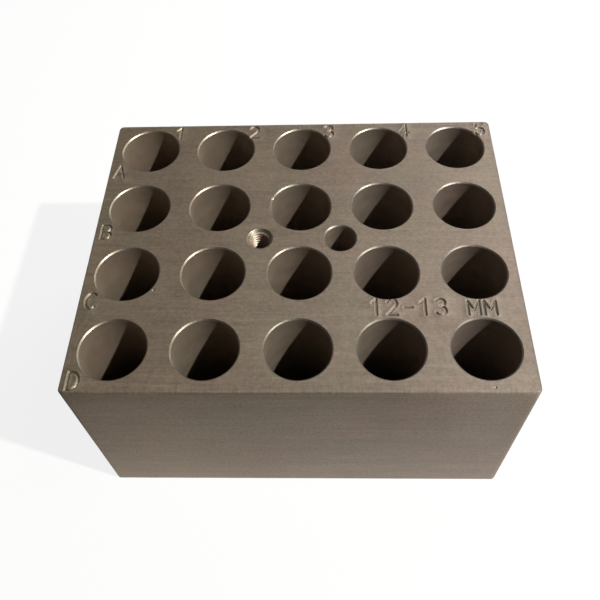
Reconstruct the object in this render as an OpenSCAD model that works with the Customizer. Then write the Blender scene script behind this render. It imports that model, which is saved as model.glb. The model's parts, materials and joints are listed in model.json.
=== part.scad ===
// Heating block of a dry block heater: one billet of aluminium, bored from
// above for a grid of tubes, a thermometer and a lifting screw.
//
// Width runs along X, depth along Y and height along Z. The front, where the
// row D wells are, faces -Y. The origin is the middle of the base.

/* [Block] */
// Height of the block
block_h = 49; // [30:0.5:80]
// From the centres of the outer wells to the sides of the block
edge_margin = 9.525; // [8.5:0.025:20]
// Radius of the four upright corners
corner_r = 1.2; // [0.6:0.1:2.5]
// Width of the flat that breaks the edges of the top and the base
edge_break = 0.4; // [0.2:0.1:0.6]

/* [Tube wells] */
// Wells from left to right
columns = 5; // [2:1:8]
// Wells from front to back
rows = 4; // [2:1:6]
// Distance between the centres of neighbouring wells
pitch = 19.05; // [17:0.05:30]
// How far the whole pattern of holes sits behind the middle of the block
pattern_back = 0.4; // [-0.4:0.1:0.4]
// Diameter of the widest tube that a well takes
tube_d = 13; // [8:0.1:14]
// How much wider than that tube a well is bored
tube_gap = 1; // [0.1:0.1:1.2]
// Width of the chamfer round the mouth of a well
well_chamfer = 0.3; // [0.1:0.1:0.5]
// Metal left below the tip of a well's drill point
well_floor = 5; // [2:0.5:15]

/* [Thermometer well] */
// Diameter of the widest thermometer that its well takes
probe_d = 7; // [3:0.1:8.5]
// How much wider than that thermometer the well is bored
probe_gap = 0.1; // [0.1:0.1:0.4]
// Width of the chamfer round its mouth
probe_chamfer = 0.3; // [0.1:0.1:0.4]
// Metal left below the tip of its drill point
probe_floor = 7; // [2:0.5:15]

/* [Lifting thread] */
// Bore of the lifting thread, at the crests of its ridges
thread_bore = 4.1; // [3:0.1:5]
// Depth of that bore down to its drill point
thread_depth = 14; // [6:0.5:25]
// Diameter of the countersink at the mouth of the thread
countersink_d = 6; // [5.2:0.1:7]
// How much nearer the middle both small holes are than half-way between wells
small_hole_shift = 0.4; // [0:0.05:0.5]

/* [Hidden] */
$fn = 96;

// Full angle at the tip of the drills that made the holes
drill_angle = 118;
// How far the cutting shapes stand out of the faces they cut
overcut = 1;

block_w = (columns - 1) * pitch + 2 * edge_margin;
block_d = (rows - 1) * pitch + 2 * edge_margin;

well_r = (tube_d + tube_gap) / 2;
probe_r = (probe_d + probe_gap) / 2;
thread_r = thread_bore / 2;
countersink_w = (countersink_d - thread_bore) / 2;

// Height of the cone that a drill of radius r leaves below a straight bore
function point_h(r) = r / tan(drill_angle / 2);

// Depth of a straight bore of radius r whose drill point stops above a floor
function bore_depth(r, floor_t) = block_h - floor_t - point_h(r);

// Place of a well, counted from 0 at the left and from 0 at the front. A half
// number is the middle of the metal between two wells.
function well_x(column) = (column - (columns - 1) / 2) * pitch;
function well_y(row) = (row - (rows - 1) / 2) * pitch + pattern_back;

// The small holes stand between the middle columns and the middle rows
small_hole_x = -well_x(ceil(columns / 2) - 1.5) - small_hole_shift;
small_hole_y = well_y(ceil(rows / 2) - 0.5);

// A blind hole to cut away, mouth at z = 0: a chamfered rim, a straight bore
// and the cone of the drill point
module blind_hole(r, depth, chamfer) {
    rim = r + chamfer;
    rotate_extrude()
        polygon([
            [0, -depth - point_h(r)],
            [r, -depth],
            [r, -chamfer],
            [rim, 0],
            [rim, overcut],
            [0, overcut]
        ]);
}

// Every hole in the block, cut down from the top
module holes() {
    for (column = [0 : columns - 1], row = [0 : rows - 1])
        translate([well_x(column), well_y(row), block_h])
            blind_hole(well_r, bore_depth(well_r, well_floor), well_chamfer);
    translate([small_hole_x, small_hole_y, block_h])
        blind_hole(probe_r, bore_depth(probe_r, probe_floor), probe_chamfer);
    translate([-small_hole_x, small_hole_y, block_h])
        blind_hole(thread_r, thread_depth, countersink_w);
}

// The plan of the block: a rectangle with four round corners
module plan() {
    square([block_w - 2 * corner_r, block_d], center = true);
    square([block_w, block_d - 2 * corner_r], center = true);
    for (x = [-1, 1], y = [-1, 1])
        translate([x * (block_w / 2 - corner_r), y * (block_d / 2 - corner_r)])
            circle(r = corner_r);
}

// A bar on its corner along X. It takes the sharp edge off the side of the
// top that is reach away from the middle.
module edge_cut(reach, length) {
    translate([0, reach, block_h])
        rotate([45, 0, 0])
            cube([length, sqrt(2) * edge_break, 4 * edge_break], center = true);
}

// The four bars for the edges of the top
module top_edge_cuts() {
    for (turn = [0, 180]) {
        rotate(turn)
            edge_cut(block_d / 2, block_w + 2 * overcut);
        rotate(turn + 90)
            edge_cut(block_w / 2, block_d + 2 * overcut);
    }
}

// The billet, before any hole is bored
module billet() {
    difference() {
        linear_extrude(block_h)
            plan();
        top_edge_cuts();
        // The same bars again, turned over for the edges of the base
        translate([0, 0, block_h])
            mirror([0, 0, 1])
                top_edge_cuts();
    }
}

// The whole block, a single piece of metal
module heating_block() {
    color([0.56, 0.51, 0.45])
        difference() {
            billet();
            holes();
        }
}

heating_block();
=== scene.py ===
"""Looks of the heating block of a dry block heater: one aluminium billet, milled on its
faces, bored with twenty tube wells and a thermometer well, tapped for a lifting screw, and
stamped with row letters, column numbers and the tube sizes it takes.

Each operator makes one surface of the billet. The last of them welds the surfaces into one
closed piece and wears it in. Lengths in the settings are metres, the frame's own unit."""
import json
import math

import bmesh
import bpy
import numpy as np
from bpy.props import FloatProperty, FloatVectorProperty, IntProperty, PointerProperty
from mathutils import Matrix, Vector, noise
from mathutils.geometry import delaunay_2d_cdt


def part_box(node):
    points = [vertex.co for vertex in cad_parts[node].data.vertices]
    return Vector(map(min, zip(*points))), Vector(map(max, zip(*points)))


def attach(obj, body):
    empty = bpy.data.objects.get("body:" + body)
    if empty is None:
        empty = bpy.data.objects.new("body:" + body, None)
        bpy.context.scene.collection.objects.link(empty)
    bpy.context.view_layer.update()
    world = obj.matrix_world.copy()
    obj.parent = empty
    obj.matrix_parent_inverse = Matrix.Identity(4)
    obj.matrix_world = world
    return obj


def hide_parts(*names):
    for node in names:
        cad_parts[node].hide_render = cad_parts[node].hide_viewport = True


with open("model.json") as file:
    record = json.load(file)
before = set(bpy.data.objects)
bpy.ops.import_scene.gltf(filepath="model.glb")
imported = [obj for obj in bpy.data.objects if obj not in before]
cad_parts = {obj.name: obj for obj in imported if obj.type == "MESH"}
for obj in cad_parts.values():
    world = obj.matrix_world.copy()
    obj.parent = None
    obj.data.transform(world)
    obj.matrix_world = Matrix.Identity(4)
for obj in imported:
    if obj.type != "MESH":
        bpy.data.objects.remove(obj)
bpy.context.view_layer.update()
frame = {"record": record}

bl_info = {
    "name": "Heating block",
    "version": (1, 0, 0),
    "blender": (4, 5, 0),
    "location": "3D View > Sidebar > Heating block",
    "description": "Builds the metal block that holds tubes in a dry block heater",
    "category": "Object",
}

MM = 0.001
NODE = "heating_block"
LOW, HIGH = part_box(NODE)
TOP = HIGH.z
MOUNTS = {mount["name"]: mount for mount in frame["record"]["mounts"]}
WELLS = {name: mount for name, mount in MOUNTS.items() if name.startswith("well_")}
ROW_LETTERS = sorted({name[5] for name in WELLS}, reverse=True)  # front row first
COLUMNS = sorted({name[6] for name in WELLS})
COLUMN_PITCH = MOUNTS["well_a2"]["pos_m"][0] - MOUNTS["well_a1"]["pos_m"][0]
ROW_PITCH = MOUNTS["well_a1"]["pos_m"][1] - MOUNTS["well_b1"]["pos_m"][1]
GRID_MIDDLE = Vector((
    sum(mount["pos_m"][0] for mount in WELLS.values()) / len(WELLS),
    sum(mount["pos_m"][1] for mount in WELLS.values()) / len(WELLS),
))
DRILL_ANGLE = math.radians(118)
WELD = 2e-6  # vertices nearer than this are one vertex
MILLED, BORED, FRESH = range(3)  # the piece's material slots
RIM_BAND = 0.6 * MM  # deeper than any chamfer, and shallower than any wall


def bore_of(mount):
    """Centre in plan, radius, width of the mouth's chamfer and length of the wall of a mount."""
    length = mount["dims"]["length_mm"] * MM
    chamfer = TOP - mount["pos_m"][2] - length / 2
    return Vector(mount["pos_m"][:2]), mount["dims"]["r_mm"] * MM, chamfer, length


# ---------- settings


class BlockSizes(bpy.types.PropertyGroup):
    """Sizes that the solid model leaves to the finish."""

    corner_radius: FloatProperty(
        name="Corner radius", description="Rounding of the four upright corners",
        default=1.2 * MM, min=0.6 * MM, max=2.5 * MM, unit="LENGTH")
    edge_radius: FloatProperty(
        name="Edge radius", description="Rounding left by deburring the top and base edges",
        default=0.5 * MM, min=0.2 * MM, max=1.0 * MM, unit="LENGTH")
    edge_waver: FloatProperty(
        name="Edge waver", description="How unevenly the edges were deburred by hand",
        default=0.05 * MM, min=0.0, max=0.2 * MM, unit="LENGTH")
    well_segments: IntProperty(
        name="Well segments", description="Facets round a tube well", default=144, min=48, max=192)
    small_segments: IntProperty(
        name="Small hole segments", description="Facets round the thermometer well and the thread",
        default=72, min=32, max=128)
    thread_pitch: FloatProperty(
        name="Thread pitch", description="Rise of the lifting thread in one turn",
        default=0.794 * MM, min=0.4 * MM, max=1.5 * MM, unit="LENGTH")
    thread_major: FloatProperty(
        name="Thread major diameter", description="Diameter at the roots of the thread's grooves",
        default=4.83 * MM, min=3.5 * MM, max=6.0 * MM, unit="LENGTH")
    mark_height: FloatProperty(
        name="Mark height", description="Height of the stamped letters and numbers",
        default=4.0 * MM, min=2.0 * MM, max=6.0 * MM, unit="LENGTH")
    mark_groove: FloatProperty(
        name="Mark groove", description="Width of one stamped stroke",
        default=0.62 * MM, min=0.3 * MM, max=1.0 * MM, unit="LENGTH")
    mark_depth: FloatProperty(
        name="Mark depth", description="Depth of one stamped stroke",
        default=0.3 * MM, min=0.05 * MM, max=0.5 * MM, unit="LENGTH")
    mark_lip: FloatProperty(
        name="Mark lip", description="Height of the metal raised beside a stroke",
        default=0.03 * MM, min=0.0, max=0.1 * MM, unit="LENGTH")


class BlockFinish(bpy.types.PropertyGroup):
    """Colours and roughness of the metal."""

    milled: FloatVectorProperty(
        name="Milled metal", description="Colour of the milled faces",
        default=(0.250, 0.201, 0.155), size=3, subtype="COLOR", min=0.0, max=1.0)
    bored: FloatVectorProperty(
        name="Bored metal", description="Colour of the walls of the wells",
        default=(0.289, 0.228, 0.174), size=3, subtype="COLOR", min=0.0, max=1.0)
    fresh: FloatVectorProperty(
        name="Fresh metal", description="Colour of chamfers and stamped strokes",
        default=(0.27, 0.238, 0.195), size=3, subtype="COLOR", min=0.0, max=1.0)
    milled_roughness: FloatProperty(
        name="Milled roughness", description="Mean roughness of the milled faces",
        default=0.6, min=0.1, max=1.0, subtype="FACTOR")
    bored_roughness: FloatProperty(
        name="Bored roughness", description="Mean roughness of the walls of the wells",
        default=0.45, min=0.1, max=1.0, subtype="FACTOR")
    fresh_roughness: FloatProperty(
        name="Fresh roughness", description="Mean roughness of chamfers and strokes",
        default=0.46, min=0.05, max=1.0, subtype="FACTOR")


class StageSettings(bpy.types.PropertyGroup):
    """Camera, lamps and floor."""

    camera_place: FloatVectorProperty(
        name="Camera place", description="Where the camera stands",
        default=(5.92 * MM, -97.87 * MM, 173.14 * MM), size=3, subtype="TRANSLATION", unit="LENGTH")
    camera_aim: FloatVectorProperty(
        name="Camera aim", description="Point that the camera faces",
        default=(0.25 * MM, -9.08 * MM, 49 * MM), size=3, subtype="TRANSLATION", unit="LENGTH")
    camera_roll: FloatProperty(
        name="Camera roll", description="Turn of the camera about its own axis",
        default=math.radians(-3.37), subtype="ANGLE", unit="ROTATION")
    lens: FloatProperty(
        name="Lens", description="Focal length in millimetres on a 36 mm sensor",
        default=41.82, min=10.0, max=200.0)
    shift: FloatVectorProperty(
        name="Shift", description="Sideways and upward shift of the lens",
        default=(-0.0008, -0.0464), size=2, min=-0.5, max=0.5)
    key_place: FloatVectorProperty(
        name="Key place", description="Where the key lamp hangs",
        default=(738 * MM, -277 * MM, 953 * MM), size=3, subtype="TRANSLATION", unit="LENGTH")
    key_width: FloatProperty(
        name="Key width", description="Diameter of the key lamp",
        default=36 * MM, min=2 * MM, max=500 * MM, unit="LENGTH")
    key_power: FloatProperty(
        name="Key power", description="Power of the key lamp", default=18.2, min=0.0, unit="POWER")
    lamp_colour: FloatVectorProperty(
        name="Lamp colour", description="Colour of the key lamp and the soft lamp",
        default=(1.0, 1.0, 0.965), size=3, subtype="COLOR", min=0.0, max=1.0)
    side_place: FloatVectorProperty(
        name="Side place", description="Where the soft lamp hangs",
        default=(270 * MM, 360 * MM, 400 * MM), size=3, subtype="TRANSLATION", unit="LENGTH")
    side_width: FloatProperty(
        name="Side width", description="Diameter of the soft lamp",
        default=300 * MM, min=2 * MM, max=1.0, unit="LENGTH")
    side_power: FloatProperty(
        name="Side power", description="Power of the soft lamp",
        default=1.4, min=0.0, unit="POWER")
    card_place: FloatVectorProperty(
        name="Card place", description="Where the low card stands",
        default=(120 * MM, -120 * MM, 12 * MM), size=3, subtype="TRANSLATION", unit="LENGTH")
    card_aim: FloatVectorProperty(
        name="Card aim", description="Point that the card faces",
        default=(15 * MM, -HIGH.y, 8 * MM), size=3, subtype="TRANSLATION", unit="LENGTH")
    card_size: FloatVectorProperty(
        name="Card size", description="Width and height of the low card",
        default=(120 * MM, 40 * MM), size=2, min=2 * MM, max=0.5, unit="LENGTH")
    card_colour: FloatVectorProperty(
        name="Card colour", description="Colour of the low card's light",
        default=(1.0, 0.97, 0.93), size=3, subtype="COLOR", min=0.0, max=1.0)
    card_power: FloatProperty(
        name="Card power", description="Power of the low card",
        default=0.125, min=0.0, unit="POWER")
    ambient: FloatProperty(
        name="Ambient", description="Light of the room from all sides", default=0.5, min=0.0, max=2.0)
    floor_colour: FloatVectorProperty(
        name="Floor colour", description="Colour of the floor",
        default=(0.86, 0.86, 0.85), size=3, subtype="COLOR", min=0.0, max=1.0)


def sizes():
    return bpy.context.scene.block_sizes


def finish():
    return bpy.context.scene.block_finish


def stage():
    return bpy.context.scene.block_stage


# ---------- node trees


class Value:
    """A node's output. Arithmetic on it adds Math nodes."""

    def __init__(self, graph, socket):
        self.graph, self.socket = graph, socket

    def math(self, operation, *others, clamp=False):
        return self.graph.node(
            "ShaderNodeMath", {"operation": operation, "use_clamp": clamp},
            dict(enumerate((self, *others))))

    def __add__(self, other):
        return self.math("ADD", other)

    def __sub__(self, other):
        return self.math("SUBTRACT", other)

    def __rsub__(self, other):
        return self.graph.node("ShaderNodeMath", {"operation": "SUBTRACT"}, {0: other, 1: self})

    def __mul__(self, other):
        return self.math("MULTIPLY", other)

    def __truediv__(self, other):
        return self.math("DIVIDE", other)

    def __abs__(self):
        return self.math("ABSOLUTE")

    __radd__, __rmul__ = __add__, __mul__

    def clamped(self):
        return self.math("ADD", 0.0, clamp=True)


class Graph:
    """A node tree that is written as Python expressions."""

    def __init__(self, tree):
        self.tree = tree
        tree.nodes.clear()

    def node(self, kind, settings=None, inputs=None, output=0):
        made = self.tree.nodes.new(kind)
        for name, value in (settings or {}).items():
            setattr(made, name, value)
        for name, value in (inputs or {}).items():
            if isinstance(value, Value):
                self.tree.links.new(value.socket, made.inputs[name])
            else:
                made.inputs[name].default_value = value
        return Value(self, made.outputs[output]) if len(made.outputs) else made

    def mix(self, factor, first, second):
        """Two colours mixed by a factor."""
        return self.node(
            "ShaderNodeMix", {"data_type": "RGBA"}, {0: factor, 6: first, 7: second}, 2)

    def product(self, first, second):
        """Two colours multiplied."""
        return self.node(
            "ShaderNodeMix", {"data_type": "RGBA", "blend_type": "MULTIPLY"},
            {0: 1.0, 6: first, 7: second}, 2)

    def tint(self, colour, factor):
        """A colour multiplied by a grey value."""
        grey = self.node("ShaderNodeCombineColor", {}, {0: factor, 1: factor, 2: factor})
        return self.product(colour, grey)

    def vector(self, x, y, z):
        return self.node("ShaderNodeCombineXYZ", {}, {0: x, 1: y, 2: z})

    def split(self, vector):
        made = self.node("ShaderNodeSeparateXYZ", {}, {0: vector})
        return [Value(self, socket) for socket in made.socket.node.outputs]

    def noise(self, place, scale, detail=2.0, roughness=0.5):
        return self.node(
            "ShaderNodeTexNoise", {},
            {"Vector": place, "Scale": scale, "Detail": detail, "Roughness": roughness})

    def between(self, value, low, high, out_low=0.0, out_high=1.0):
        """A value mapped smoothly from one range to another."""
        return self.node(
            "ShaderNodeMapRange", {"interpolation_type": "SMOOTHSTEP"},
            {0: value, 1: low, 2: high, 3: out_low, 4: out_high})


# ---------- the metal


# Factors on the red, green and blue of a metal's colour
WARMER = (1.025, 0.99, 0.995)
GREENER = (0.985, 1.005, 0.99)
# Painted tint of light: warmer at the left and bluer at the right, where the lamps stand
LEFT_PAINTED_TINT = (1.01, 1.0, 0.95, 1.0)
RIGHT_PAINTED_TINT = (0.99, 1.0, 1.06, 1.0)
HUE_REACH = 50.0  # millimetres from the middle to where the left and right painted tints of light are full
HUE_OFFSET = (71.0, 13.0, 37.0)  # keeps the drift of hue apart from the drift of tone
# How often the cutter's lines change along and across the cut, per millimetre
FINE_LINES = (0.12, 2.6)
BROAD_LINES = (0.03, 0.62)
TICK_LENGTH = 3.6  # millimetres that the scratches reach in from an edge


def place_in_mm(graph):
    """The point on the piece, in millimetres from the middle of the base."""
    place = graph.node("ShaderNodeTexCoord", {}, {}, 3)
    return graph.node(
        "ShaderNodeVectorMath", {"operation": "SCALE"}, {0: place, "Scale": 1 / MM})


def swing(value, amount):
    """A noise value, which is about 0.5 at its mean, as a change either way."""
    return (value - 0.5) * amount


def tone(graph, place):
    """Slow change of tone over the billet, about 1 where it is plain."""
    clouds = graph.noise(place, 0.045, 3.0, 0.55)
    patches = graph.noise(place, 0.19, 2.0, 0.5)
    return 1.0 + swing(clouds, 0.30) + swing(patches, 0.12)


def hue(graph, place, colour):
    """The colour with slow drifts towards a warmer and a greener grey, and a painted tint of light:
    a little bluer at the right, where the lamps stand, than at the left."""
    moved = graph.node("ShaderNodeVectorMath", {"operation": "ADD"}, {0: place, 1: HUE_OFFSET})
    drift = graph.noise(moved, 0.07, 2.0)
    warm = tuple(c * k for c, k in zip(colour, WARMER)) + (1.0,)
    green = tuple(c * k for c, k in zip(colour, GREENER)) + (1.0,)
    mixed = graph.mix(graph.between(drift, 0.35, 0.65), warm, green)
    # Painted light: a tint that grows bluer towards the right, where the lamps stand
    painted_tint_share = graph.between(graph.split(place)[0], -HUE_REACH, HUE_REACH)
    return graph.product(mixed, graph.mix(painted_tint_share, LEFT_PAINTED_TINT, RIGHT_PAINTED_TINT))


def cutter_lines(graph, place):
    """Fine lines that the cutter left: along X on the top, front and back, along Y on the ends."""
    x, y, z = graph.split(place)
    normal = graph.node("ShaderNodeTexCoord", {}, {}, 1)
    across = graph.between(abs(graph.split(normal)[0]), 0.6, 0.8)
    along = x * (1.0 - across) + y * across
    side = y * (1.0 - across) + x * across

    def lines(scales, detail, roughness):
        slow, quick = scales
        stretched = graph.vector(along * slow, side * quick, z * quick)
        return graph.noise(stretched, 1.0, detail, roughness)

    return lines(FINE_LINES, 3.0, 0.65), lines(BROAD_LINES, 2.0, 0.5)


def edge_ticks(graph, place):
    """Short scratches across the front and rear edges of the top, from deburring by hand."""
    x, y, z = graph.split(place)
    ticks = graph.noise(graph.vector(x * 2.4, y * 0.2, z * 0.2), 1.0, 2.0, 0.6)
    edge = graph.between(abs(y), HIGH.y / MM - TICK_LENGTH, HIGH.y / MM)
    top = graph.between(z, TOP / MM - 1.5, TOP / MM - 0.3)
    return (ticks - 0.5) * edge * top


def metal(name, colour, metallic, paint):
    """A metal material. paint(graph, place) gives the colour's factor, the roughness and the
    height of the relief in millimetres."""
    material = bpy.data.materials.new(name)
    material.use_nodes = True
    material.diffuse_color = (*colour, 1.0)
    graph = Graph(material.node_tree)
    place = place_in_mm(graph)
    factor, rough, relief = paint(graph, place)
    bump = graph.node(
        "ShaderNodeBump", {}, {"Strength": 1.0, "Distance": MM, "Height": relief})
    shader = graph.node("ShaderNodeBsdfPrincipled", {}, {
        "Base Color": graph.tint(hue(graph, place, colour), factor),
        "Metallic": metallic,
        "Roughness": rough.clamped(),
        "Normal": bump,
    })
    graph.node("ShaderNodeOutputMaterial", {}, {"Surface": shader})
    return material


def milled_metal():
    """The flat faces: fine lines from the cutter, slow changes of tone and a few bright specks."""
    mean = finish().milled_roughness

    def paint(graph, place):
        fine, broad = cutter_lines(graph, place)
        specks = graph.node(
            "ShaderNodeTexVoronoi", {"feature": "F1"}, {"Vector": place, "Scale": 0.9}, 0)
        speck = graph.between(specks, 0.10, 0.03)
        grain = graph.noise(place, 1.5, 3.0, 0.7)
        lines = swing(fine, 0.5) + swing(broad, 0.26) + swing(grain, 0.8)
        lines = lines + edge_ticks(graph, place) * 0.5
        factor = tone(graph, place) * (1.0 + lines) + speck * 0.12
        rough = mean + swing(fine, 0.14) + (tone(graph, place) - 1.0) * 0.25
        return factor, rough, fine * 0.03 + broad * 0.015 + grain * 0.03

    return metal("milled_aluminium", finish().milled, 0.9, paint)


def bored_metal():
    """The walls of the wells: rings from the drill, a patchy film, and painted shade that darkens them
    deeper down.
    """
    mean = finish().bored_roughness

    def paint(graph, place):
        x, y, z = graph.split(place)
        rings = graph.noise(graph.vector(x * 0.12, y * 0.12, z * 3.4), 1.0, 3.0, 0.6)
        bands = graph.noise(graph.vector(x * 0.05, y * 0.05, z * 0.35), 1.0, 2.0, 0.5)
        film = graph.noise(place, 0.35, 3.0, 0.6)
        # Painted shade: the walls' colour darkens towards the bottom of the wells, where little light
        # reaches
        depth = graph.between(z, TOP / MM - 30.0, TOP / MM - 1.0, 0.42, 1.06)
        factor = (1.0 + swing(rings, 0.25) + swing(bands, 0.3) + swing(film, 0.4)) * depth
        rough = mean + swing(rings, 0.12) + swing(film, 0.15)
        return factor, rough, rings * 0.010

    return metal("bored_aluminium", finish().bored, 0.5, paint)


def fresh_metal():
    """Chamfers, the countersink and stamped strokes: fresher metal with fine chatter."""
    mean = finish().fresh_roughness

    def paint(graph, place):
        chatter = graph.noise(place, 2.2, 3.0, 0.6)
        film = graph.noise(place, 0.16, 2.0, 0.5)
        factor = 1.0 + swing(chatter, 0.35) + swing(film, 0.4)
        rough = mean + swing(chatter, 0.2)
        return factor, rough, chatter * 0.02

    return metal("fresh_cut_aluminium", finish().fresh, 1.0, paint)


def metals():
    """Milled, bored and fresh metal, each made once, in the order of the piece's slots."""
    makers = {
        "milled_aluminium": milled_metal, "bored_aluminium": bored_metal,
        "fresh_cut_aluminium": fresh_metal}
    return [bpy.data.materials.get(name) or make() for name, make in makers.items()]


# ---------- stamped marks


def arc(x, y, across, up, start, end, steps=12):
    """Points along part of an ellipse, from one angle in degrees to another."""
    return [
        (x + across * math.cos(math.radians(a)), y + up * math.sin(math.radians(a)))
        for a in np.linspace(start, end, steps)
    ]


# Each character is a list of strokes in a box 0.6 wide and 1 high.
STROKES = {
    "A": [[(0, 0), (0.3, 1), (0.6, 0)], [(0.12, 0.34), (0.48, 0.34)]],
    "B": [[(0.04, 0), (0.04, 1), *arc(0.3, 0.765, 0.24, 0.235, 90, -90), (0.04, 0.53)],
          [(0.3, 0.53), *arc(0.3, 0.265, 0.28, 0.265, 90, -90), (0.04, 0)]],
    "C": [arc(0.34, 0.5, 0.31, 0.5, 48, 312, 20)],
    "D": [[(0.04, 0), (0.04, 1), *arc(0.16, 0.5, 0.42, 0.5, 90, -90, 16), (0.04, 0)]],
    "M": [[(0, 0), (0, 0.86), (0.3, 0.3), (0.6, 0.86), (0.6, 0)]],
    "1": [[(0.1, 0.74), (0.34, 1), (0.34, 0)]],
    "2": [[*arc(0.31, 0.72, 0.26, 0.28, 165, -32), (0.03, 0), (0.58, 0)]],
    "3": [[*arc(0.28, 0.765, 0.25, 0.235, 150, -90)], [*arc(0.28, 0.265, 0.28, 0.265, 90, -155)]],
    "4": [[(0.44, 0), (0.44, 1), (0.02, 0.3), (0.6, 0.3)]],
    "5": [[(0.52, 1), (0.12, 1), (0.07, 0.56), *arc(0.27, 0.33, 0.3, 0.33, 118, -150, 16)]],
    "-": [[(0.08, 0.46), (0.52, 0.46)]],
    " ": [],
}
CHARACTER_WIDTH = 0.6
LETTER_PLACE = (-6.85 * MM, -7.15 * MM)  # middle of a row's letter, from its first well
NUMBER_PLACE = (6.75 * MM, 6.2 * MM)  # middle of a column's number, from its rear well
SIZE_MARK = "12-13 MM"
SIZE_MARK_FROM = Vector((15.0 * MM, -20.2 * MM))  # lower left corner of the size mark
SIZE_MARK_STEP = 3.42 * MM
LIP_WIDTH = 0.3 * MM
STROKE_MARGIN = 0.35 * MM  # how far the close points reach beside a stroke
FRESH_DEPTH = 0.5  # share of the stroke's depth below which its metal is bright
# Small knocks in the rims and the front edge: place in plan and radius, in millimetres
NICKS = (
    (-4.0, 14.67, 0.5), (-6.8, 12.33, 0.35), (2.6, 14.9, 0.3), (4.2, 14.6, 0.3),
    (38.6, -36.9, 0.3), (-31.6, -13.6, 0.35), (-24.6, -32.2, 0.35),
)
NICK_DEPTH = 0.18 * MM
NICK_REACH = 0.5 * MM  # how far below the top a knock still moves points
NICK_BRIGHT = 0.7  # share of a knock's radius that shows bright metal


def character(sign, corner, height):
    """The strokes of one character as lists of points on the top of the block."""
    return [
        [(corner.x + x * height, corner.y + y * height) for x, y in stroke]
        for stroke in STROKES[sign]
    ]


def mark_strokes():
    """Every stroke stamped in the top."""
    height = sizes().mark_height
    half = Vector((CHARACTER_WIDTH * height / 2, height / 2))
    strokes = []
    for letter in ROW_LETTERS:
        well = Vector(WELLS[f"well_{letter}{COLUMNS[0]}"]["pos_m"][:2])
        strokes += character(letter.upper(), well + Vector(LETTER_PLACE) - half, height)
    for number in COLUMNS:
        well = Vector(WELLS[f"well_{ROW_LETTERS[-1]}{number}"]["pos_m"][:2])
        strokes += character(number, well + Vector(NUMBER_PLACE) - half, height)
    for place, sign in enumerate(SIZE_MARK):
        corner = SIZE_MARK_FROM + Vector((place * SIZE_MARK_STEP, 0))
        strokes += character(sign, corner, height)
    return [np.array(stroke) for stroke in strokes]


def distance_to_strokes(points, strokes):
    """Distance from each point to the nearest stroke's middle line."""
    least = np.full(len(points), np.inf)
    for stroke in strokes:
        low, high = stroke.min(0) - 2 * MM, stroke.max(0) + 2 * MM
        near = np.flatnonzero(((points > low) & (points < high)).all(1))
        for start, end in zip(stroke[:-1], stroke[1:]):
            run = end - start
            t = ((points[near] - start) @ run / max(run @ run, 1e-18)).clip(0, 1)
            away = np.linalg.norm(points[near] - start - t[:, None] * run, axis=1)
            least[near] = np.minimum(least[near], away)
    return least


# ---------- surfaces


def plan_loop(inset, spacing=1.0 * MM, corner_steps=8):
    """Outline of the block in plan, moved inwards by inset, anticlockwise. Every inset gives
    the same number of points."""
    radius = sizes().corner_radius
    half_w, half_d = HIGH.x - radius, HIGH.y - radius
    corners = [
        (half_w, -half_d, -90), (half_w, half_d, 0), (-half_w, half_d, 90), (-half_w, -half_d, 180)]
    loop = []
    for (x, y, start), (next_x, next_y, _) in zip(corners, corners[1:] + corners[:1]):
        turned = arc(x, y, radius - inset, radius - inset, start, start + 90, corner_steps)
        loop += turned
        last = Vector(turned[-1])
        run = Vector((next_x - x, next_y - y))
        steps = round(run.length / spacing)
        loop += [tuple(last + run * (i / steps)) for i in range(1, steps)]
    return loop


def circle(centre, radius, segments):
    """Points round a circle in plan."""
    turns = [2 * math.pi * i / segments for i in range(segments)]
    return [(centre.x + radius * math.cos(a), centre.y + radius * math.sin(a)) for a in turns]


def new_object(name, mesh):
    made = bpy.data.objects.new(name, mesh)
    bpy.context.scene.collection.objects.link(made)
    return made


def mesh_from(name, points, faces, slot):
    """An object with all the metals in its slots and one of them on its faces."""
    mesh = bpy.data.meshes.new(name)
    mesh.from_pydata([tuple(p) for p in points], [], faces)
    for metal_used in metals():
        mesh.materials.append(metal_used)
    mesh.polygons.foreach_set("material_index", [slot] * len(mesh.polygons))
    return new_object(name, mesh)


def mouths():
    """Every opening in the top: centre, radius at the top face and number of facets."""
    found = []
    for name, mount in MOUNTS.items():
        if mount["kind"] not in ("bore", "threaded_hole"):
            continue
        centre, radius, chamfer, _ = bore_of(mount)
        segments = sizes().well_segments if name in WELLS else sizes().small_segments
        found.append((centre, radius + chamfer, segments))
    return found


def fine_points(strokes, spacing=0.1 * MM):
    """A close three-way grid of points in and beside the strokes."""
    reach = sizes().mark_groove * 0.5 + STROKE_MARGIN
    rise = spacing * math.sqrt(3) / 2
    found = []
    for stroke in strokes:
        low, high = stroke.min(0) - reach, stroke.max(0) + reach
        rows = np.arange(math.floor(low[1] / rise), math.ceil(high[1] / rise) + 1)
        columns = np.arange(math.floor(low[0] / spacing), math.ceil(high[0] / spacing) + 1)
        row, column = np.meshgrid(rows, columns)
        found.append(np.stack([row.ravel(), column.ravel()], 1))
    grid = np.unique(np.concatenate(found), axis=0)
    points = np.stack([(grid[:, 1] + 0.5 * (grid[:, 0] % 2)) * spacing, grid[:, 0] * rise], 1)
    return points[distance_to_strokes(points, strokes) < reach]


CLOSE_CLEARANCE = 0.05 * MM  # least distance from the close points to an outline
COARSE_STEP = 2.4 * MM
OUTLINE_CLEARANCE = 0.6 * MM  # the same for the coarse points, to the outline of the block,
MOUTH_CLEARANCE = 0.5 * MM  # to the mouth of a hole
STROKE_CLEARANCE = 1.2 * MM  # and to a stroke


def clear_of_mouths(points, clearance):
    """Which points lie outside every opening by more than a clearance."""
    clear = np.ones(len(points), bool)
    for centre, radius, _ in mouths():
        clear &= np.linalg.norm(points - np.array(centre), axis=1) > radius + clearance
    return clear


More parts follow.
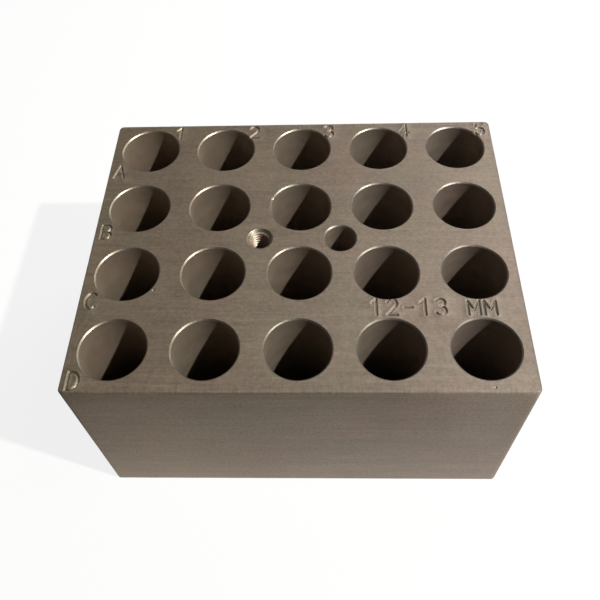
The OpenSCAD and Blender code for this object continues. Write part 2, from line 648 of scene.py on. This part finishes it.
def make_top_face():
    """The milled top, with its openings, and close points where the marks are stamped."""
    loops = [plan_loop(sizes().edge_radius)] + [circle(*mouth) for mouth in mouths()]
    points, edges = [], []
    for loop in loops:
        first = len(points)
        points += loop
        edges += [(first + i, first + (i + 1) % len(loop)) for i in range(len(loop))]
    knocks = [np.array([(x, y), (x, y)]) * MM for x, y, _ in NICKS]
    close = fine_points(mark_strokes() + knocks)
    outline = np.array(loops[0]).max(0)
    clear = (np.abs(close) < outline - CLOSE_CLEARANCE).all(1)
    clear &= clear_of_mouths(close, CLOSE_CLEARANCE)
    coarse = np.stack(np.meshgrid(
        np.arange(LOW.x, HIGH.x, COARSE_STEP), np.arange(LOW.y, HIGH.y, COARSE_STEP)), -1)
    coarse = coarse.reshape(-1, 2)
    open_ = (np.abs(coarse) < outline - OUTLINE_CLEARANCE).all(1)
    open_ &= clear_of_mouths(coarse, MOUTH_CLEARANCE)
    open_ &= distance_to_strokes(coarse, mark_strokes()) > STROKE_CLEARANCE
    points += [tuple(p) for p in np.concatenate([close[clear], coarse[open_]])]
    # The triangulation works in millimetres, where its tolerance is safe
    flat = [Vector(p) / MM for p in points]
    verts, _, faces, *_ = delaunay_2d_cdt(flat, edges, [], 0, 1e-6)
    verts = np.array(verts) * MM
    middles = np.array([verts[list(face)].mean(0) for face in faces])
    kept = np.ones(len(faces), bool)
    for centre, radius, segments in mouths():
        flat_radius = radius * math.cos(math.pi / segments)
        kept &= np.linalg.norm(middles - np.array(centre), axis=1) > flat_radius
    kept &= inside_outline(middles)
    faces = [face for face, keep in zip(faces, kept) if keep]
    return mesh_from("top_face", [(x, y, TOP) for x, y in verts], faces, MILLED)


def inside_outline(points):
    """Which points lie inside the outline of the top face."""
    radius = sizes().corner_radius
    beyond = np.maximum(np.abs(points) - np.array([HIGH.x - radius, HIGH.y - radius]), 0)
    return np.linalg.norm(beyond, axis=1) < radius - sizes().edge_radius + 1e-9


def make_sides(edge_steps=6, levels=12):
    """The four sides, their rounded edges and the base."""
    radius = sizes().edge_radius
    steps = [math.radians(a) for a in np.linspace(0, 90, edge_steps)]
    rungs = [(radius * (1 - math.sin(a)), TOP - radius * (1 - math.cos(a))) for a in steps]
    rungs += [(0.0, z) for z in np.linspace(TOP - radius, radius, levels)[1:-1]]
    rungs += [(inset, TOP - z) for inset, z in reversed(rungs[:len(steps)])]
    points, faces = [], []
    for inset, z in rungs:
        points += [(x, y, z) for x, y in plan_loop(inset)]
    count = len(points) // len(rungs)
    for rung in range(len(rungs) - 1):
        for i in range(count):
            a, b = rung * count + i, rung * count + (i + 1) % count
            faces.append((a, a + count, b + count, b))
    faces.append(tuple(reversed(range((len(rungs) - 1) * count, len(rungs) * count))))
    return mesh_from("sides", points, faces, MILLED)


def node_tree(name, inputs):
    """A new geometry node tree with named inputs, its graph, and the values of the inputs."""
    tree = bpy.data.node_groups.new(name, "GeometryNodeTree")
    for label, kind in inputs.items():
        tree.interface.new_socket(label, in_out="INPUT", socket_type="NodeSocket" + kind)
    tree.interface.new_socket("Geometry", in_out="OUTPUT", socket_type="NodeSocketGeometry")
    graph = Graph(tree)
    group = graph.node("NodeGroupInput").socket.node.outputs
    return tree, graph, {socket.name: Value(graph, socket) for socket in group}


def placed_at(graph, geometry, by):
    """A mesh moved to a place."""
    return graph.node("GeometryNodeTransform", {}, {"Geometry": geometry, "Translation": by})


def cone(graph, segments, top_radius, low_radius, height, low_end):
    """An open cone or tube."""
    made = graph.node(
        "GeometryNodeMeshCone", {"fill_type": "NONE"},
        {"Vertices": segments, "Radius Top": top_radius, "Radius Bottom": low_radius,
         "Depth": height})
    return placed_at(graph, made, graph.vector(0.0, 0.0, low_end))


def merged(graph, parts):
    """Several meshes joined, with the vertices they share made one."""
    joined = graph.node("GeometryNodeJoinGeometry").socket.node
    for part in parts:
        graph.tree.links.new(part.socket, joined.inputs[0])
    together = Value(graph, joined.outputs[0])
    return graph.node(
        "GeometryNodeMergeByDistance", {}, {"Geometry": together, "Distance": WELD})


def clad(graph, geometry, given, rim_height):
    """Ends a tree: real geometry, with rim metal above a height and wall metal below it."""
    real = graph.node("GeometryNodeRealizeInstances", {}, {"Geometry": geometry})
    walled = graph.node(
        "GeometryNodeSetMaterial", {}, {"Geometry": real, "Material": given["Wall metal"]})
    height = graph.split(graph.node("GeometryNodeInputPosition"))[2]
    at_rim = graph.node(
        "FunctionNodeCompare", {"operation": "GREATER_THAN"}, {0: height, 1: rim_height})
    rimmed = graph.node(
        "GeometryNodeSetMaterial", {},
        {"Geometry": walled, "Selection": at_rim, "Material": given["Rim metal"]})
    graph.node("NodeGroupOutput", {}, {0: rimmed})


def bore_tree():
    """Geometry nodes that bore a grid of blind holes: chamfer, wall and drill point."""
    held = bpy.data.node_groups.get("bored_holes")
    if held:
        return held
    tree, graph, given = node_tree("bored_holes", {
        "Columns": "Int", "Rows": "Int", "Column pitch": "Float", "Row pitch": "Float",
        "Radius": "Float", "Wall length": "Float", "Chamfer": "Float", "Point height": "Float",
        "Segments": "Int", "Middle": "Vector", "Wall metal": "Material", "Rim metal": "Material"})
    segments, radius, chamfer = given["Segments"], given["Radius"], given["Chamfer"]
    wall, tip = given["Wall length"], given["Point height"]
    rim = cone(graph, segments, radius + chamfer, radius, chamfer, chamfer * -1.0)
    bore = cone(graph, segments, radius, radius, wall, (chamfer + wall) * -1.0)
    point = cone(graph, segments, radius, 0.0, tip, (chamfer + wall + tip) * -1.0)
    hole = graph.node("GeometryNodeFlipFaces", {}, {"Mesh": merged(graph, (rim, bore, point))})
    grid = graph.node("GeometryNodeMeshGrid", {}, {
        "Size X": (given["Columns"] - 1.0) * given["Column pitch"],
        "Size Y": (given["Rows"] - 1.0) * given["Row pitch"],
        "Vertices X": given["Columns"], "Vertices Y": given["Rows"]})
    holes = graph.node("GeometryNodeInstanceOnPoints", {}, {"Points": grid, "Instance": hole})
    clad(graph, placed_at(graph, holes, given["Middle"]), given, TOP - RIM_BAND)
    return tree


def baked_from(tree, name, inputs):
    """An object with the plain mesh that a geometry node tree makes."""
    carrier = new_object(name + "_carrier", bpy.data.meshes.new(name + "_carrier"))
    modifier = carrier.modifiers.new(name, "NODES")
    modifier.node_group = tree
    keys = {item.name: item.identifier for item in tree.interface.items_tree if item.in_out == "INPUT"}
    for label, value in inputs.items():
        modifier[keys[label]] = value
    carrier.update_tag()
    bpy.context.view_layer.update()
    held = carrier.evaluated_get(bpy.context.evaluated_depsgraph_get())
    mesh = bpy.data.meshes.new_from_object(held)
    mesh.name = name
    bpy.data.objects.remove(carrier)
    if not len(mesh.polygons):
        raise RuntimeError(f"the node tree made nothing for {name}")
    return new_object(name, mesh)


def bore_holes(name, mount, columns, rows, middle, segments):
    """A grid of holes like the one of a mount."""
    _, radius, chamfer, length = bore_of(mount)
    return baked_from(bore_tree(), name, {
        "Columns": columns, "Rows": rows, "Column pitch": COLUMN_PITCH, "Row pitch": ROW_PITCH,
        "Radius": radius, "Wall length": length, "Chamfer": chamfer,
        "Point height": radius / math.tan(DRILL_ANGLE / 2), "Segments": segments,
        "Middle": (middle.x, middle.y, TOP),
        "Wall metal": metals()[BORED], "Rim metal": metals()[FRESH]})


RIDGE_SLOPE = 2.6  # steepness of a ridge's flanks
RIDGE_CREST = 0.15  # share of the pitch that a crest keeps flat
RINGS_PER_TURN = 11


def thread_tree():
    """Geometry nodes that cut a helical thread below a countersink: a tube whose radius follows
    the height and the turn, closed by a drill point."""
    tree, graph, given = node_tree("cut_thread", {
        "Segments": "Int", "Rings": "Int", "Depth": "Float", "Crest radius": "Float",
        "Root radius": "Float", "Pitch": "Float", "Mouth radius": "Float",
        "Point height": "Float", "Place": "Vector", "Wall metal": "Material",
        "Rim metal": "Material"})
    depth, crest, root = given["Depth"], given["Crest radius"], given["Root radius"]
    sheet = graph.node("GeometryNodeMeshGrid", {}, {
        "Size X": 1.0, "Size Y": 1.0,
        "Vertices X": given["Segments"] + 1.0, "Vertices Y": given["Rings"]})
    across, up, _ = graph.split(graph.node("GeometryNodeInputPosition"))
    turn = (across + 0.5) * (2 * math.pi)
    sunk = (0.5 - up) * depth
    phase = (sunk / given["Pitch"] + across + 0.5).math("FRACT")
    ridge = (abs(phase - 0.5) * RIDGE_SLOPE - RIDGE_CREST).clamped()
    ridge = ridge * ridge * (3.0 - ridge * 2.0)
    fade = ((depth - sunk) / given["Pitch"]).clamped()
    threaded = crest + ridge * fade * (root - crest)
    reach = threaded.math("MAXIMUM", given["Mouth radius"] - sunk)
    place = graph.vector(reach * turn.math("COSINE"), reach * turn.math("SINE"), sunk * -1.0)
    tube = graph.node("GeometryNodeSetPosition", {}, {"Geometry": sheet, "Position": place})
    height = given["Point height"]
    tip = cone(graph, given["Segments"], crest, 0.0, height, (depth + height) * -1.0)
    placed = placed_at(graph, merged(graph, (tube, tip)), given["Place"])
    clad(graph, placed, given, TOP - (given["Mouth radius"] - root))
    return tree


def make_thread():
    """The lifting thread under its countersink."""
    centre, radius, chamfer, length = bore_of(MOUNTS["lifting_thread"])
    depth = chamfer + length
    rings = round(depth / (sizes().thread_pitch / RINGS_PER_TURN))
    return baked_from(thread_tree(), "lifting_thread", {
        "Segments": sizes().small_segments, "Rings": rings, "Depth": depth,
        "Crest radius": radius, "Root radius": sizes().thread_major / 2,
        "Pitch": sizes().thread_pitch, "Mouth radius": radius + chamfer,
        "Point height": radius / math.tan(DRILL_ANGLE / 2),
        "Place": (centre.x, centre.y, TOP),
        "Wall metal": metals()[BORED], "Rim metal": metals()[FRESH]})


# ---------- one piece


def weld(parts, name):
    """One object from several, with the vertices they share made one."""
    mesh = bpy.data.meshes.new(name)
    for used in metals():
        mesh.materials.append(used)
    slots = {used.name: i for i, used in enumerate(metals())}
    whole = bmesh.new()
    for part in parts:
        source = part.data
        first = len(whole.faces)
        whole.from_mesh(source)
        whole.faces.ensure_lookup_table()
        for face in whole.faces[first:]:
            face.material_index = slots[source.materials[face.material_index].name]
    bmesh.ops.remove_doubles(whole, verts=whole.verts, dist=WELD)
    bmesh.ops.triangulate(whole, faces=[f for f in whole.faces if len(f.verts) > 4])
    bmesh.ops.recalc_face_normals(whole, faces=whole.faces)
    gaps = [edge for edge in whole.edges if len(edge.link_faces) != 2]
    if gaps:
        where = gaps[0].verts[0].co / MM
        raise RuntimeError(f"{len(gaps)} edges of {name} aren't closed, one at {where}")
    whole.to_mesh(mesh)
    whole.free()
    for part in parts:
        bpy.data.objects.remove(part)
    return new_object(name, mesh)


def points_of(mesh):
    """The places of a mesh's vertices, one row each."""
    found = np.empty(len(mesh.vertices) * 3)
    mesh.vertices.foreach_get("co", found)
    return found.reshape(-1, 3)


def stamp_marks(mesh):
    """Presses the strokes into the top. The plane of the top drops by the height of a lip, so
    that the lips end at the block's full height."""
    points = points_of(mesh)
    at_top = points[:, 2] > TOP - WELD
    half, lip = sizes().mark_groove / 2, sizes().mark_lip
    away = distance_to_strokes(points[at_top, :2], mark_strokes())
    pressed = np.cos((away / half).clip(0, 1) * math.pi / 2) ** 2 * sizes().mark_depth
    beside = ((away - half) / LIP_WIDTH).clip(0, 1)
    raised = 4 * beside * (1 - beside) * lip
    points[at_top, 2] += raised - pressed - lip
    mesh.vertices.foreach_set("co", points.ravel())
    deep = np.zeros(len(points))
    deep[at_top] = pressed
    for face in mesh.polygons:
        if deep[list(face.vertices)].mean() > FRESH_DEPTH * sizes().mark_depth:
            face.material_index = FRESH


def knock_nicks(mesh):
    """Small dents with bright metal in them, on rims and edges."""
    points = points_of(mesh)
    high = points[:, 2] > TOP - NICK_REACH
    struck = np.zeros(len(points), bool)
    for x, y, radius in NICKS:
        away = np.linalg.norm(points[:, :2] - np.array([x, y]) * MM, axis=1) / (radius * MM)
        hit = high & (away < 1)
        points[hit, 2] -= NICK_DEPTH * (1 - away[hit] ** 2)
        struck |= hit & (away < NICK_BRIGHT)
    mesh.vertices.foreach_set("co", points.ravel())
    for face in mesh.polygons:
        if struck[list(face.vertices)].all():
            face.material_index = FRESH


EDGE_BAND = 1.05  # share of the edge's radius within which points are worn
WAVER_RATE = 900  # changes of the waver per metre
WAVER_INWARD = 0.6  # share of the waver that each direction takes


def wear_edges(mesh):
    """Moves the deburred edges in by an uneven amount, as a file leaves them."""
    points = points_of(mesh)
    radius = sizes().edge_radius
    inset = np.stack([HIGH.x - np.abs(points[:, 0]), HIGH.y - np.abs(points[:, 1])], 1)
    near_end = np.minimum(points[:, 2], TOP - points[:, 2])
    nearest = np.sort(np.column_stack([inset, near_end]), axis=1)[:, 1]
    for i in np.flatnonzero(nearest < radius * EDGE_BAND):
        point = Vector(points[i])
        amount = sizes().edge_waver * (0.5 + 0.5 * noise.noise(point * WAVER_RATE))
        inward = Vector((-math.copysign(1, point.x), -math.copysign(1, point.y), 0))
        inward.x *= inset[i, 0] < radius
        inward.y *= inset[i, 1] < radius
        inward.z = -1.0 if TOP - point.z < radius else 1.0 if point.z < radius else 0.0
        points[i] += np.array(inward * amount * WAVER_INWARD)
    mesh.vertices.foreach_set("co", points.ravel())


def smooth_between_sharp(mesh, angle=math.radians(28)):
    """Smooth shading, kept apart along the edges that turn by more than the angle."""
    mesh.polygons.foreach_set("use_smooth", [True] * len(mesh.polygons))
    mesh.set_sharp_from_angle(angle=angle)
    mesh.update()


# ---------- stage


FLOOR_HALF = 3.0
FLOOR_SHOWN = 0.85  # share of the white that hides the floor's own shade, but not its shadow
GLOW_REACH = 26 * MM  # distance from the block at which the floor's mirrored glow has faded
GLOW_FAR, GLOW_NEAR = 0.03, 0.97
ROOM_COLOUR = (1.0, 0.99, 0.975, 1.0)
ROOM_SHOWN = 0.92  # brightness of the room where it is seen straight
# The room's soft light: a band low round the block, and a ceiling above the band
BAND_EDGES = (0.5, 0.15)  # rise of the direction where the band starts and where it is full
BAND_FRONT, BAND_REAR = 0.02, 0.5
CEILING_LEFT, CEILING_RIGHT = 0.08, 0.3


def background_rays(graph):
    """1 for rays that see the background straight, and 1 for those that see it mirrored or
    through glass."""
    path = graph.node("ShaderNodeLightPath").socket.node.outputs
    straight, mirrored, through = (
        Value(graph, path[name]) for name in ("Is Camera Ray", "Is Glossy Ray", "Is Transmission Ray"))
    return straight, (mirrored + through).clamped()


def make_floor():
    """A wide plain floor. It looks nearly white and keeps the block's shadow."""
    turns = ((-1, -1), (1, -1), (1, 1), (-1, 1))
    corners = [(x * FLOOR_HALF, y * FLOOR_HALF, 0) for x, y in turns]
    mesh = bpy.data.meshes.new("floor")
    mesh.from_pydata(corners, [], [(0, 1, 2, 3)])
    floor = new_object("floor", mesh)
    used = bpy.data.materials.new("pale_floor")
    used.use_nodes = True
    graph = Graph(used.node_tree)
    card = graph.node("ShaderNodeBsdfDiffuse", {}, {"Color": (*stage().floor_colour, 1.0)})
    straight, mirrored = background_rays(graph)
    x, y, _ = graph.split(graph.node("ShaderNodeTexCoord", {}, {}, 3))
    beside = (abs(x) - HIGH.x).math("MAXIMUM", 0.0)
    before = (abs(y) - HIGH.y).math("MAXIMUM", 0.0)
    near = ((beside * beside + before * before) * (-1 / GLOW_REACH ** 2)).math("EXPONENT")
    glow = straight + mirrored * (GLOW_FAR + near * GLOW_NEAR)
    white = graph.node("ShaderNodeEmission", {}, {"Color": (1.0, 1.0, 1.0, 1.0), "Strength": glow})
    shown = (straight + mirrored) * FLOOR_SHOWN
    mixed = graph.node("ShaderNodeMixShader", {}, {0: shown, 1: card, 2: white})
    graph.node("ShaderNodeOutputMaterial", {}, {"Surface": mixed})
    mesh.materials.append(used)


def light_room():
    """The room's soft light: stronger behind the block, and a ceiling brighter at the right."""
    world = bpy.data.worlds.new("room")
    bpy.context.scene.world = world
    world.use_nodes = True
    graph = Graph(world.node_tree)
    direction = graph.split(graph.node("ShaderNodeTexCoord", {}, {}, 0))
    horizon = graph.between(direction[2], *BAND_EDGES)
    ceiling = CEILING_LEFT + CEILING_RIGHT * graph.between(direction[0], 0.0, 0.8)
    behind = graph.between(direction[1], 0.0, 0.6)
    room = horizon * (BAND_FRONT + BAND_REAR * behind) + (1.0 - horizon) * ceiling
    straight, mirrored = background_rays(graph)
    soft = 1.0 - straight - mirrored
    strength = straight * ROOM_SHOWN + room * (mirrored + soft * stage().ambient)
    light = graph.node(
        "ShaderNodeBackground", {}, {"Color": ROOM_COLOUR, "Strength": strength})
    graph.node("ShaderNodeOutputWorld", {}, {"Surface": light})


def hang_lamp(name, place, aim, size, power, colour):
    """An area lamp that faces its aim and isn't seen itself: a disc if it has one size, or a
    rectangle if it has two."""
    lamp = bpy.data.lights.new(name, "AREA")
    lamp.shape = "DISK" if len(size) == 1 else "RECTANGLE"
    lamp.energy, lamp.color = power, colour
    lamp.size, lamp.size_y = size[0], size[-1]
    hung = bpy.data.objects.new(name, lamp)
    bpy.context.scene.collection.objects.link(hung)
    hung.visible_camera = False
    hung.location = place
    hung.rotation_euler = (Vector(place) - Vector(aim)).to_track_quat("Z", "Y").to_euler()


def set_camera():
    """The camera."""
    camera = bpy.data.cameras.new("camera")
    camera.sensor_width = 36.0
    camera.lens = stage().lens
    camera.shift_x, camera.shift_y = stage().shift
    camera.clip_start, camera.clip_end = 0.005, 50.0
    held = bpy.data.objects.new("camera", camera)
    bpy.context.scene.collection.objects.link(held)
    place, aim = Vector(stage().camera_place), Vector(stage().camera_aim)
    look = (place - aim).to_track_quat("Z", "Y").to_matrix().to_4x4()
    held.matrix_world = Matrix.Translation(place) @ look @ Matrix.Rotation(stage().camera_roll, 4, "Z")
    bpy.context.scene.camera = held


# ---------- operators


class HEATBLOCK_OT_top(bpy.types.Operator):
    """Make the milled top face with its openings"""

    bl_idname = "heatblock.top"
    bl_label = "Top face"

    def execute(self, context):
        make_top_face()
        return {"FINISHED"}


class HEATBLOCK_OT_sides(bpy.types.Operator):
    """Make the sides, the rounded edges and the base"""

    bl_idname = "heatblock.sides"
    bl_label = "Sides and base"

    def execute(self, context):
        make_sides()
        return {"FINISHED"}


class HEATBLOCK_OT_wells(bpy.types.Operator):
    """Bore the grid of tube wells"""

    bl_idname = "heatblock.wells"
    bl_label = "Tube wells"

    def execute(self, context):
        bore_holes(
            "tube_wells", MOUNTS["well_a1"], len(COLUMNS), len(ROW_LETTERS), GRID_MIDDLE,
            sizes().well_segments)
        return {"FINISHED"}


class HEATBLOCK_OT_thermometer(bpy.types.Operator):
    """Bore the thermometer well"""

    bl_idname = "heatblock.thermometer"
    bl_label = "Thermometer well"

    def execute(self, context):
        mount = MOUNTS["thermometer_well"]
        bore_holes(
            "thermometer_well", mount, 1, 1, Vector(mount["pos_m"][:2]), sizes().small_segments)
        return {"FINISHED"}


class HEATBLOCK_OT_thread(bpy.types.Operator):
    """Cut the countersink and the lifting thread"""

    bl_idname = "heatblock.thread"
    bl_label = "Lifting thread"

    def execute(self, context):
        make_thread()
        return {"FINISHED"}


class HEATBLOCK_OT_weld(bpy.types.Operator):
    """Weld the surfaces into one closed piece, stamp its marks and put it on the frame"""

    bl_idname = "heatblock.weld"
    bl_label = "Whole block"

    def execute(self, context):
        names = ("top_face", "sides", "tube_wells", "thermometer_well", "lifting_thread")
        block = weld([bpy.data.objects[name] for name in names], "block")
        for step in (stamp_marks, knock_nicks, wear_edges, smooth_between_sharp):
            step(block.data)
        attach(block, "root")
        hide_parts(NODE)
        return {"FINISHED"}


class HEATBLOCK_OT_stage(bpy.types.Operator):
    """Set the floor, the lamps and the camera"""

    bl_idname = "heatblock.stage"
    bl_label = "Stage"

    def execute(self, context):
        make_floor()
        light_room()
        given = stage()
        middle = (0.0, 0.0, TOP)
        hang_lamp(
            "key", given.key_place, middle, (given.key_width,), given.key_power, given.lamp_colour)
        hang_lamp(
            "side", given.side_place, middle, (given.side_width,), given.side_power,
            given.lamp_colour)
        hang_lamp(
            "low_card", given.card_place, given.card_aim, given.card_size, given.card_power,
            given.card_colour)
        set_camera()
        return {"FINISHED"}


class HEATBLOCK_PT_panel(bpy.types.Panel):
    """The steps that build the heating block, in order"""

    bl_idname = "HEATBLOCK_PT_panel"
    bl_label = "Heating block"
    bl_space_type = "VIEW_3D"
    bl_region_type = "UI"
    bl_category = "Heating block"

    def draw(self, context):
        for group in (sizes(), finish(), stage()):
            box = self.layout.box()
            for name in group.__annotations__:
                box.prop(group, name)
        for operator in OPERATORS:
            self.layout.operator(operator.bl_idname)


SETTINGS = {"block_sizes": BlockSizes, "block_finish": BlockFinish, "block_stage": StageSettings}
OPERATORS = (
    HEATBLOCK_OT_top, HEATBLOCK_OT_sides, HEATBLOCK_OT_wells, HEATBLOCK_OT_thermometer,
    HEATBLOCK_OT_thread, HEATBLOCK_OT_weld, HEATBLOCK_OT_stage)


def register():
    for kind in (*SETTINGS.values(), *OPERATORS, HEATBLOCK_PT_panel):
        bpy.utils.register_class(kind)
    for name, kind in SETTINGS.items():
        setattr(bpy.types.Scene, name, PointerProperty(type=kind))


def unregister():
    for name in SETTINGS:
        delattr(bpy.types.Scene, name)
    for kind in (HEATBLOCK_PT_panel, *reversed(OPERATORS), *reversed(SETTINGS.values())):
        bpy.utils.unregister_class(kind)


def main():
    register()
    bpy.context.scene.view_settings.view_transform = "Standard"
    for operator in OPERATORS:
        group, name = operator.bl_idname.split(".")
        getattr(getattr(bpy.ops, group), name)()


if __name__ == "__main__":
    main()
